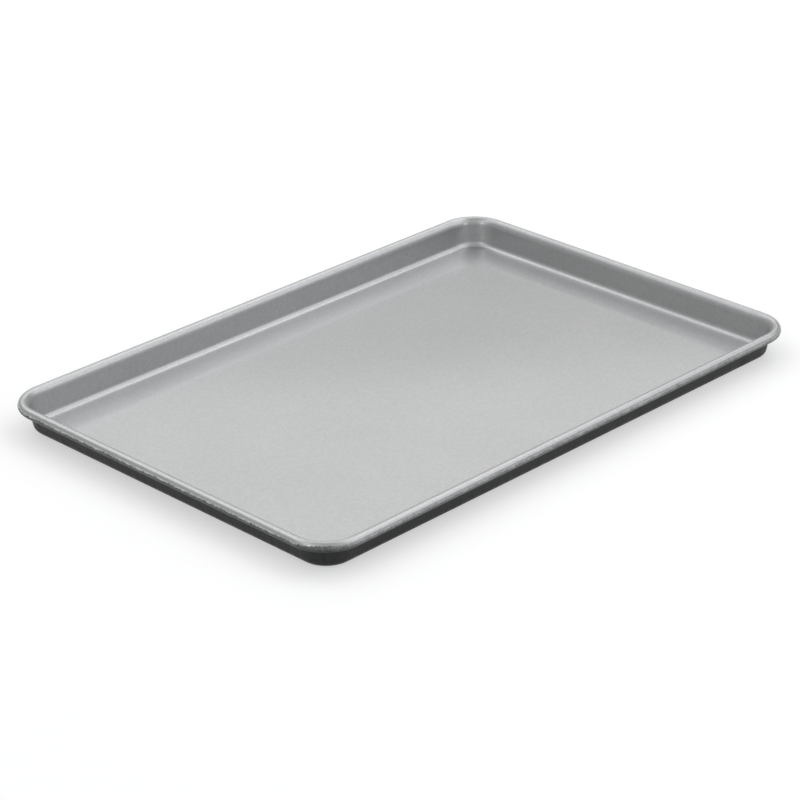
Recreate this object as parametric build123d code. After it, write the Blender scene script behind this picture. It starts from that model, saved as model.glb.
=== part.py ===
from build123d import *
from math import acos, cos, degrees, radians, sin, tan
import os

# Jelly roll pan: one pressed steel sheet with a shallow, drafted wall, and a steel wire hoop
# that the sheet's edge is curled round, outward and under, to make the rim.
# Millimetres, +Z up, +X along the pan, origin at the centre of the underside.

# Overall sizes
pan_length = 397.0  # over the rim, along X
pan_width = 271.2  # over the rim, along Y
pan_height = 19.05  # from the underside to the top of the rim
rim_corner_radius = 25.1  # outside of the rim, seen from above

# Pressed sheet
sheet_gauge = 0.8
wall_draft = 9.4  # degrees that the wall leans outward
floor_radius = 4.0  # inside bend between floor and wall

# Shoulder between the wall and the rim, looser than the curl round the wire
shoulder_radius = 6.0
shoulder_facing = 52.0  # degrees that the sheet still faces upward where the curl begins

# Rim
wire_diameter = 4.2
wire_clearance = 0.1  # between the wire and the inside of the curl, all round
edge_gap = 1.5  # between the sheet's edge and the shoulder's underside, where the curl ends
wire_end_gap = 0.6  # between the hoop's two cut ends

# One overrun for every cut
overrun = 1.0

# Directions that the sheet's cooking side faces, measured up from level
lean = radians(wall_draft)
facing = radians(shoulder_facing)

# Curl round the wire
curl_inner_radius = wire_diameter / 2 + wire_clearance
curl_radius = curl_inner_radius + sheet_gauge
wire_inset = curl_radius
wire_height = pan_height - curl_radius

# Shoulder: its centre lies beyond the wire's, on the line through the point where the curl begins
shoulder_offset = shoulder_radius - curl_radius
shoulder_inset = wire_inset - shoulder_offset * cos(facing)
shoulder_height = wire_height - shoulder_offset * sin(facing)
shoulder_turn = shoulder_facing - wall_draft

# The curl's far end: the law of cosines gives the turn that leaves the edge gap to the shoulder
edge_reach = shoulder_radius - sheet_gauge - edge_gap
edge_cosine = (edge_reach**2 - curl_radius**2 - shoulder_offset**2) / (2 * curl_radius * shoulder_offset)
curl_turn = 360 - degrees(acos(edge_cosine))

# Wall, between the tangent points of the floor bend and of the shoulder
bend_turn = 90 - wall_draft
wall_top_inset = shoulder_inset + shoulder_radius * cos(lean)
wall_top_height = shoulder_height + shoulder_radius * sin(lean)
wall_rise = wall_top_height - sheet_gauge - floor_radius * (1 - sin(lean))
wall_length = wall_rise / cos(lean)
floor_inset = wall_top_inset + wall_rise * tan(lean) + floor_radius * cos(lean)


def plan(inset):
    """The pan's rounded rectangle seen from above, moved in from the rim's outer edge."""
    length = pan_length - 2 * inset
    width = pan_width - 2 * inset
    return RectangleRounded(length, width, rim_corner_radius - inset)


def section_plane(inset, height):
    """An upright plane across the pan's +X side: its x runs outward and its y runs up."""
    return Plane(origin=(pan_length / 2 - inset, 0, height), x_dir=(1, 0, 0), z_dir=(0, -1, 0))


def sheet_side(depth):
    """One side of the sheet from the flat floor to the curl's edge, depth below the cooking side."""
    bend = JernArc((0, -depth), (1, 0), floor_radius + depth, bend_turn)
    wall = Line(bend @ 1, bend @ 1 + (bend % 1) * wall_length)
    shoulder = JernArc(wall @ 1, wall % 1, shoulder_radius - depth, -shoulder_turn)
    curl = JernArc(shoulder @ 1, shoulder % 1, curl_radius - depth, -curl_turn)
    return [bend, wall, shoulder, curl]


def edge_section():
    """The pressed edge cut across: bend, wall, shoulder and curl, one gauge thick all along."""
    cooking_side = sheet_side(0)
    underside = sheet_side(sheet_gauge)
    ends = [Line(cooking_side[0] @ 0, underside[0] @ 0), Line(cooking_side[-1] @ 1, underside[-1] @ 1)]
    return make_face([*cooking_side, *underside, *ends])


def pressed_pan():
    """The sheet: a flat floor with the edge section swept round its outline."""
    floor = extrude(plan(floor_inset), sheet_gauge)
    edge = sweep(
        section_plane(floor_inset, sheet_gauge) * edge_section(),
        path=Pos(0, 0, sheet_gauge) * plan(floor_inset).wire(),
    )
    return floor + edge


def rim_hoop():
    """The wire bent to the rim's outline, its two ends butted at the middle of the +Y side."""
    hoop = sweep(
        section_plane(wire_inset, wire_height) * Circle(wire_diameter / 2),
        path=Pos(0, 0, wire_height) * plan(wire_inset).wire(),
    )
    cut_depth = wire_diameter + 2 * overrun
    joint = Pos(0, pan_width / 2 - wire_inset, wire_height) * Box(wire_end_gap, cut_depth, cut_depth)
    return hoop - joint


os.makedirs("parts", exist_ok=True)
export_step(pressed_pan(), "parts/pan_shell.step")
export_step(rim_hoop(), "parts/rim_wire.step")
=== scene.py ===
from math import cos, pi, radians, sin, tan

import bpy
from mathutils import Matrix, Vector


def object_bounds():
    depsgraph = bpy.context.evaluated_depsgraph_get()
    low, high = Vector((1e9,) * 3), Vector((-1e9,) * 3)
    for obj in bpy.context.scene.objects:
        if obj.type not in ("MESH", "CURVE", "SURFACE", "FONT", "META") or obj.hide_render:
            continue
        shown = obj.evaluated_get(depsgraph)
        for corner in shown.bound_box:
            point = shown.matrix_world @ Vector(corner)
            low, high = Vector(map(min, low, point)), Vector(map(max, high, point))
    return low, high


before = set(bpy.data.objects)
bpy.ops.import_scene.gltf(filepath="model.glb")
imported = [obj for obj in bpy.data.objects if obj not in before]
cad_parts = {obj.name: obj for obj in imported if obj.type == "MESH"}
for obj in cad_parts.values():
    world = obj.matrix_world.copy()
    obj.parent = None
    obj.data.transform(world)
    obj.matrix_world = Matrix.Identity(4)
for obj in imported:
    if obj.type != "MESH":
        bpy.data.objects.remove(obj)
cad_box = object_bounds()

MM = 0.001

# Half the rim's length and width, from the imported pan
PAN_HALF_LENGTH = cad_box[1][0]
PAN_HALF_WIDTH = cad_box[1][1]

# Camera: its place round the pan, its distance, and the lens on a 36 mm wide square frame
CAMERA_AZIMUTH = radians(-44.813)
CAMERA_ELEVATION = radians(25.764)
CAMERA_ROLL = radians(-0.96)
CAMERA_DISTANCE = 1666.1 * MM
CAMERA_TARGET = Vector((-14.3, -6.95, 0.0)) * MM
CAMERA_SENSOR = 36.0
CAMERA_LENS = 127.3

# Softboxes: azimuth from behind the pan clockwise seen from above, elevation, width and height
# in degrees as the pan sees them, brightness, and colour
SOFTBOX_DISTANCE = 2.2
NEUTRAL = (1.0, 1.0, 1.0)
COOL = (0.965, 0.985, 1.0)
COOL_SIDE = (0.91, 0.96, 1.0)
SOFTBOXES = {
    "back_high": (355, 60, 70, 24, 0.7, NEUTRAL),
    "back_low": (355, 35, 55, 20, 0.85, NEUTRAL),
    "right_high": (75, 60, 60, 24, 1.05, NEUTRAL),
    "right_low": (90, 35, 50, 20, 1.05, COOL_SIDE),
    "right_side": (140, 24, 7, 9, 6.5, COOL_SIDE),
    "left_high": (270, 55, 80, 26, 0.7, COOL),
    "left_side": (220, 24, 7, 9, 7.0, NEUTRAL),
    "low_right": (100, 15, 35, 15, 0.1, COOL_SIDE),
    "front_high": (180, 45, 60, 26, 0.2, NEUTRAL),
}
ROOM_LIGHT = 0.42

# White card under the pan, and the lift that makes it white to the camera and in reflections
FLOOR_SIZE = 8.0
FLOOR_DROP = 0.05 * MM
FLOOR_WHITE = 0.62
FLOOR_LIFT = 0.48

# Silver-grey coating inside and over the rim
SILVER = (0.520, 0.523, 0.527)
SILVER_METALLIC = 0.85
SILVER_ROUGHNESS = 0.39

# Charcoal outside: painted shade, the dark of the outer walls put into the colour of their coat
PAINTED_SHADE_CHARCOAL = (0.028, 0.029, 0.029)
PAINTED_SHADE_METALLIC = 0.1
PAINTED_SHADE_ROUGHNESS = 0.44

# Nonstick coats bend light less than glass does, and a clear top lies over the silver
COAT_IOR = 1.35
TOP_COAT_WEIGHT = 0.85
TOP_COAT_ROUGHNESS = 0.09

# Noise lies mostly between these two of its values
NOISE_LOW = 0.25
NOISE_HIGH = 0.75

# Clouds, blotches and flakes in the silver and the painted-shade charcoal: how many to the metre, and how
# far their shade swings.
# Flakes stand out more on the painted-shade charcoal
CLOUDS = dict(scale=11.0, swing=0.035, detail=3.0)
MOTTLE = dict(scale=420.0, swing=0.045)
FLAKES = dict(scale=1500.0, swing=0.11)
PAINTED_SHADE_FLAKES = 3.5

# Lines that run up the walls from drawing the sheet. They hardly show through the silver
DRAWN_LINES = dict(scale=320.0, swing=0.40, stretch=(1.0, 1.0, 0.06), roughness=0.6)
DRAWN_THROUGH_SILVER = 0.03
DRAWN_ROUGHNESS = 0.5
DRAWN_DEPTH = 0.04 * MM

# A wall faces up or down by less than the first of these, and a level face by more than the second
WALL_FACING = (0.35, 0.8)

# Patches of another gloss, orange peel of the sprayed coat, and grit on the painted-shade charcoal
GLOSS_PATCHES = dict(scale=16.0, swing=0.02, detail=3.0)
PEEL = dict(scale=520.0, swing=1.0)
PEEL_DEPTH = 0.004 * MM
GRIT = dict(scale=1700.0, swing=1.0)
GRIT_DEPTH = 0.006 * MM

# Level faces are silver, and so are those that face up and inward. Inward is judged by how far it
# is from the pan's middle to the face's plane, along its facing: below zero where it faces inward
LEVEL_FACING = (0.5, 0.7)
UPWARD_FACING = (0.0, 0.05)
INWARD_PLANE = (-20 * MM, -8 * MM)

# Where silver ends on the rim and the painted shade below it begins, as how far the surface still faces
# up: the middle of the change and half its width, sharp on the pan's short sides and soft on its long
# sides
SHARP_EDGE_UP = 0.15
SHARP_EDGE = 0.06
SOFT_EDGE_UP = 0.0
SOFT_EDGE = 0.65

# How far along Y a face looks, from a short side's to a long side's
LONG_SIDE_FACING = (0.25, 0.85)

# At the corners it ends higher, a painted shade that darkens the rim's corners. There a face points along
# the pan and across it as well, so that the product of its X and Y parts is large
CORNER_PAINTED_SHADE_RISE = 0.30
CORNER_PRODUCT = (0.1, 0.4)

# What makes that edge ragged
EDGE_WAVES = dict(scale=38.0, swing=0.09)
EDGE_DABS = dict(scale=230.0, swing=0.13, detail=3.0)
EDGE_SPECKS = dict(scale=800.0, swing=0.30, stretch=(1.0, 1.0, 2.5), detail=3.0, roughness=0.6)

# Painted reflection below that edge: a thin silver on the bead's underside that paints in the floor's
# reflection. Its strength at the edge on the short and the long sides, and where it has died out. The
# wall below the rim gets none of it, a painted shade of the rim's shadow
SHARP_PAINTED_REFLECTION = 0.24
SOFT_PAINTED_REFLECTION = 0.50
PAINTED_REFLECTION_END = -0.9
RIM_SHADOW_LOW = 11.5 * MM
RIM_SHADOW_HIGH = 13.2 * MM

# Bare drawn wire: die lines along it, and dull patches
WIRE_COLOUR = (0.40, 0.39, 0.38)
WIRE_LINES = dict(scale=6000.0, swing=1.0, detail=3.0)
WIRE_LINE_SHADE = 0.08
WIRE_LINE_DEPTH = 0.004 * MM
WIRE_DULLING = dict(scale=60.0, swing=1.0, detail=4.0)
WIRE_DULL_SHADE = 0.10
WIRE_ROUGHNESS = (0.28, 0.45)


def camera_axes():
    """The camera's right, up and backward directions."""
    back = Vector((
        sin(CAMERA_AZIMUTH) * cos(CAMERA_ELEVATION),
        -cos(CAMERA_AZIMUTH) * cos(CAMERA_ELEVATION),
        sin(CAMERA_ELEVATION),
    ))
    right = Vector((0, 0, 1)).cross(back).normalized()
    up = back.cross(right)
    rolled_right = right * cos(CAMERA_ROLL) + up * sin(CAMERA_ROLL)
    rolled_up = up * cos(CAMERA_ROLL) - right * sin(CAMERA_ROLL)
    return rolled_right, rolled_up, back


def add_camera():
    """The scene's camera, aimed at a point near the pan's middle."""
    right, up, back = camera_axes()
    data = bpy.data.cameras.new("camera")
    data.sensor_fit = "HORIZONTAL"
    data.sensor_width = CAMERA_SENSOR
    data.lens = CAMERA_LENS
    camera = bpy.data.objects.new("camera", data)
    bpy.context.scene.collection.objects.link(camera)
    turn = Matrix((right, up, back)).transposed().to_4x4()
    camera.matrix_world = Matrix.Translation(CAMERA_TARGET + back * CAMERA_DISTANCE) @ turn
    bpy.context.scene.camera = camera


def new_material(name):
    """An empty node material: the material, its node tree and its output node."""
    material = bpy.data.materials.new(name)
    material.use_nodes = True
    tree = material.node_tree
    tree.nodes.clear()
    output = tree.nodes.new("ShaderNodeOutputMaterial")
    return material, tree, output


def node(tree, kind, inputs=None, **settings):
    """A node with its settings, and each input set to a value or linked to another node's output."""
    made = tree.nodes.new(kind)
    for name, value in settings.items():
        setattr(made, name, value)
    for name, value in (inputs or {}).items():
        socket = made.inputs[name]
        if isinstance(value, bpy.types.NodeSocket):
            tree.links.new(value, socket)
        else:
            socket.default_value = value
    return made


def math_node(tree, operation, first, second=0.0):
    """One operation on two numbers, or on the first alone."""
    return node(tree, "ShaderNodeMath", {0: first, 1: second}, operation=operation).outputs["Value"]


def added(tree, *terms):
    """The sum of several numbers."""
    total = terms[0]
    for term in terms[1:]:
        total = math_node(tree, "ADD", total, term)
    return total


def ramp(tree, value, low, high, to_low=0.0, to_high=1.0, smooth=False):
    """A value mapped from one range to another, held at its ends."""
    kind = "SMOOTHSTEP" if smooth else "LINEAR"
    inputs = {"Value": value, "From Min": low, "From Max": high, "To Min": to_low, "To Max": to_high}
    return node(tree, "ShaderNodeMapRange", inputs, interpolation_type=kind).outputs["Result"]


def grain(tree, place, scale, swing, stretch=(1.0, 1.0, 1.0), detail=2.0, roughness=0.5):
    """Noise about zero, within plus and minus swing, with so many grains to the metre along each axis."""
    sized = tuple(scale * factor for factor in stretch)
    moved = node(tree, "ShaderNodeMapping", {"Vector": place, "Scale": sized}).outputs["Vector"]
    settings = {"Vector": moved, "Scale": 1.0, "Detail": detail, "Roughness": roughness}
    noise = node(tree, "ShaderNodeTexNoise", settings).outputs["Fac"]
    return ramp(tree, noise, NOISE_LOW, NOISE_HIGH, -swing, swing)


def mixed(tree, factor, first, second):
    """Two numbers mixed by a factor. The mix node's sockets go by number, as their names repeat."""
    return node(tree, "ShaderNodeMix", {0: factor, 2: first, 3: second}, data_type="FLOAT").outputs[0]


def mixed_colour(tree, factor, first, second):
    """Two colours mixed by a factor."""
    return node(tree, "ShaderNodeMix", {0: factor, 6: first, 7: second}, data_type="RGBA").outputs[2]


def scaled_colour(tree, colour, factor):
    """A colour made lighter or darker by a factor."""
    inputs = {0: colour, "Scale": factor}
    return node(tree, "ShaderNodeVectorMath", inputs, operation="SCALE").outputs["Vector"]


def bump(tree, height, depth, normal=None):
    """A bump from a height between minus one and one, of a depth in metres."""
    inputs = {"Height": height, "Distance": depth, "Strength": 1.0}
    if normal is not None:
        inputs["Normal"] = normal
    return node(tree, "ShaderNodeBump", inputs).outputs["Normal"]


def parts_of(tree, vector):
    """The three parts of a vector."""
    return node(tree, "ShaderNodeSeparateXYZ", {"Vector": vector}).outputs


def surface(tree):
    """Where a point is on the object, and the parts of the direction that it faces."""
    coordinates = node(tree, "ShaderNodeTexCoord").outputs
    return coordinates["Object"], parts_of(tree, coordinates["Normal"])


def inside_share(tree, where, facing):
    """One where the sheet is level, or faces up and in towards the pan's middle, and none outside."""
    plane_x = math_node(tree, "MULTIPLY", where["X"], facing["X"])
    plane_y = math_node(tree, "MULTIPLY", where["Y"], facing["Y"])
    inward = ramp(tree, added(tree, plane_x, plane_y), *INWARD_PLANE, 1.0, 0.0)
    inside_wall = math_node(tree, "MULTIPLY", inward, ramp(tree, facing["Z"], *UPWARD_FACING))
    return math_node(tree, "MAXIMUM", inside_wall, ramp(tree, facing["Z"], *LEVEL_FACING))


def silver_share(tree, place, facing):
    """How much of the surface is silver; the rest is the painted shade of the outer walls. Its lower edge
    on the rim is ragged, blurred on the long sides and sharp on the short, with a painted reflection
    fading out below it."""
    where = parts_of(tree, place)
    sideways = ramp(tree, math_node(tree, "ABSOLUTE", facing["Y"]), *LONG_SIDE_FACING, smooth=True)
    ragged = [grain(tree, place, **noise) for noise in (EDGE_WAVES, EDGE_DABS, EDGE_SPECKS)]
    # Painted shade: no painted reflection on the wall in the rim's shadow
    rim_shadow = ramp(tree, where["Z"], RIM_SHADOW_LOW, RIM_SHADOW_HIGH, -1.0, 0.0)
    # Painted shade: at the rim's corners the charcoal reaches higher
    slant = math_node(tree, "ABSOLUTE", math_node(tree, "MULTIPLY", facing["X"], facing["Y"]))
    corner = ramp(tree, slant, *CORNER_PRODUCT, 0.0, -CORNER_PAINTED_SHADE_RISE, smooth=True)
    height = added(tree, facing["Z"], *ragged, rim_shadow, corner)

    sharp = ramp(tree, height, SHARP_EDGE_UP - SHARP_EDGE, SHARP_EDGE_UP + SHARP_EDGE, smooth=True)
    soft = ramp(tree, height, SOFT_EDGE_UP - SOFT_EDGE, SOFT_EDGE_UP + SOFT_EDGE, smooth=True)
    # Painted reflection of the floor on the bead's underside, stronger on the long sides
    strength = mixed(tree, sideways, SHARP_PAINTED_REFLECTION, SOFT_PAINTED_REFLECTION)
    painted_reflection = ramp(tree, height, PAINTED_REFLECTION_END, SHARP_EDGE_UP, 0.0, strength)
    edge_and_painted_reflection = math_node(tree, "MAXIMUM", mixed(tree, sideways, sharp, soft), painted_reflection)
    return math_node(tree, "MAXIMUM", edge_and_painted_reflection, inside_share(tree, where, facing))


def wall_share(tree, facing):
    """One on the upright walls and none on level faces."""
    upright = math_node(tree, "ABSOLUTE", facing["Z"])
    return ramp(tree, upright, *WALL_FACING, 1.0, 0.0, smooth=True)


def coated_steel():
    """Pressed sheet: silver coat inside and over the rim under a thin clear top, and painted shade
    outside as a charcoal colour.
    """
    material, tree, output = new_material("pan_coating")
    place, facing = surface(tree)
    silver = silver_share(tree, place, facing)
    # Painted shade: the charcoal share, the dark of the outer walls put into their colour
    painted_shade_side = math_node(tree, "SUBTRACT", 1.0, silver)

    # Clouds and flakes in the spray
    clouds = grain(tree, place, **CLOUDS)
    mottle = grain(tree, place, **MOTTLE)
    flakes = grain(tree, place, **FLAKES)
    flakes = math_node(tree, "MULTIPLY", flakes, ramp(tree, painted_shade_side, 0.0, 1.0, 1.0, PAINTED_SHADE_FLAKES))

    # Faint upright lines where the wall was drawn
    drawn = math_node(tree, "MULTIPLY", grain(tree, place, **DRAWN_LINES), wall_share(tree, facing))
    drawn = math_node(tree, "MULTIPLY", drawn, ramp(tree, painted_shade_side, 0.0, 1.0, DRAWN_THROUGH_SILVER, 1.0))

    # The silver coat and the painted-shade charcoal, shaded and dulled by that
    shade = added(tree, 1.0, clouds, mottle, flakes, drawn)
    colour = mixed_colour(tree, silver, (*PAINTED_SHADE_CHARCOAL, 1.0), (*SILVER, 1.0))
    metallic = mixed(tree, silver, PAINTED_SHADE_METALLIC, SILVER_METALLIC)
    roughness = mixed(tree, silver, PAINTED_SHADE_ROUGHNESS, SILVER_ROUGHNESS)
    drawn_dull = math_node(tree, "MULTIPLY", drawn, DRAWN_ROUGHNESS)
    patchy = added(tree, roughness, grain(tree, place, **GLOSS_PATCHES), drawn_dull)

    # Orange peel of the sprayed coat, finer grit on the painted-shade charcoal, and the drawn lines
    peel = bump(tree, grain(tree, place, **PEEL), PEEL_DEPTH)
    grit = math_node(tree, "MULTIPLY", grain(tree, place, **GRIT), painted_shade_side)
    gritty = bump(tree, grit, GRIT_DEPTH, normal=peel)
    lined = bump(tree, drawn, DRAWN_DEPTH, normal=gritty)

    shader = node(tree, "ShaderNodeBsdfPrincipled", {
        "Base Color": scaled_colour(tree, colour, shade),
        "Metallic": metallic,
        "Roughness": patchy,
        "Normal": lined,
        "IOR": COAT_IOR,
        "Coat Weight": math_node(tree, "MULTIPLY", silver, TOP_COAT_WEIGHT),
        "Coat Roughness": TOP_COAT_ROUGHNESS,
        "Coat Normal": lined,
    })
    tree.links.new(shader.outputs["BSDF"], output.inputs["Surface"])
    return material


def drawn_wire():
    """Bare drawn steel wire: die lines along the wire, dulled in patches."""
    material, tree, output = new_material("bare_wire")
    place = node(tree, "ShaderNodeTexCoord").outputs["Object"]

    # How far in from the rim's straight sides, so that the die lines run along the hoop
    where = parts_of(tree, place)
    from_end = math_node(tree, "SUBTRACT", PAN_HALF_LENGTH, math_node(tree, "ABSOLUTE", where["X"]))
    from_side = math_node(tree, "SUBTRACT", PAN_HALF_WIDTH, math_node(tree, "ABSOLUTE", where["Y"]))
    inset = math_node(tree, "MINIMUM", from_end, from_side)
    across = node(tree, "ShaderNodeCombineXYZ", {"X": inset, "Y": where["Z"]}).outputs["Vector"]
    lines = grain(tree, across, **WIRE_LINES)
    dull = grain(tree, place, **WIRE_DULLING)

    line_shade = math_node(tree, "MULTIPLY", lines, WIRE_LINE_SHADE)
    dull_shade = math_node(tree, "MULTIPLY", dull, WIRE_DULL_SHADE)
    shader = node(tree, "ShaderNodeBsdfPrincipled", {
        "Base Color": scaled_colour(tree, WIRE_COLOUR, added(tree, 1.0, line_shade, dull_shade)),
        "Metallic": 1.0,
        "Roughness": ramp(tree, dull, -1.0, 1.0, *WIRE_ROUGHNESS),
        "Normal": bump(tree, lines, WIRE_LINE_DEPTH),
    })
    tree.links.new(shader.outputs["BSDF"], output.inputs["Surface"])
    return material


def floor_material():
    """White card: it shades and takes the shadow, and the camera and glossy surfaces see it as white."""
    material, tree, output = new_material("studio_floor")
    ray = node(tree, "ShaderNodeLightPath").outputs
    seen = math_node(tree, "MAXIMUM", ray["Is Camera Ray"], ray["Is Glossy Ray"])
    seen = math_node(tree, "MAXIMUM", seen, ray["Is Transmission Ray"])
    card = node(tree, "ShaderNodeBsdfDiffuse", {"Color": (FLOOR_WHITE, FLOOR_WHITE, FLOOR_WHITE, 1.0)})
    glow = node(tree, "ShaderNodeEmission", {"Strength": math_node(tree, "MULTIPLY", seen, FLOOR_LIFT)})
    both = node(tree, "ShaderNodeAddShader", {0: card.outputs[0], 1: glow.outputs[0]})
    tree.links.new(both.outputs[0], output.inputs["Surface"])
    return material


def add_floor():
    """The card that the pan stands on, a hair below it."""
    bpy.ops.mesh.primitive_plane_add(size=FLOOR_SIZE, location=(0, 0, -FLOOR_DROP))
    floor = bpy.context.object
    floor.name = "studio_floor"
    floor.data.materials.append(floor_material())


def add_softbox(name, azimuth, elevation, wide, high, brightness, colour):
    """A rectangular lamp that faces the pan, so many degrees wide and high as the pan sees it.
    Its power goes with its area, so that lamps of one brightness look equally bright."""
    turn = CAMERA_AZIMUTH - radians(azimuth)
    up = radians(elevation)
    away = Vector((-sin(turn) * cos(up), cos(turn) * cos(up), sin(up)))
    data = bpy.data.lights.new(name, "AREA")
    data.shape = "RECTANGLE"
    data.size = 2 * SOFTBOX_DISTANCE * tan(radians(wide) / 2)
    data.size_y = 2 * SOFTBOX_DISTANCE * tan(radians(high) / 2)
    data.energy = brightness * pi * data.size * data.size_y
    data.color = colour
    lamp = bpy.data.objects.new(name, data)
    bpy.context.scene.collection.objects.link(lamp)
    lamp.location = away * SOFTBOX_DISTANCE
    lamp.rotation_euler = away.to_track_quat("Z", "Y").to_euler()
    lamp.visible_camera = False


def add_room():
    """Even light from all round, the same for every ray."""
    world = bpy.data.worlds.new("studio")
    world.use_nodes = True
    bpy.context.scene.world = world
    tree = world.node_tree
    tree.nodes.clear()
    output = tree.nodes.new("ShaderNodeOutputWorld")
    sky = node(tree, "ShaderNodeBackground", {"Color": (1.0, 1.0, 1.0, 1.0), "Strength": ROOM_LIGHT})
    tree.links.new(sky.outputs[0], output.inputs["Surface"])


def finish_piece(name, material):
    """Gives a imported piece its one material."""
    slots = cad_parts[name].data.materials
    slots.clear()
    slots.append(material)


add_camera()
add_floor()
add_room()
for name, settings in SOFTBOXES.items():
    add_softbox(name, *settings)

finish_piece("pan_shell", coated_steel())
finish_piece("rim_wire", drawn_wire())

bpy.context.scene.view_settings.view_transform = "Standard"
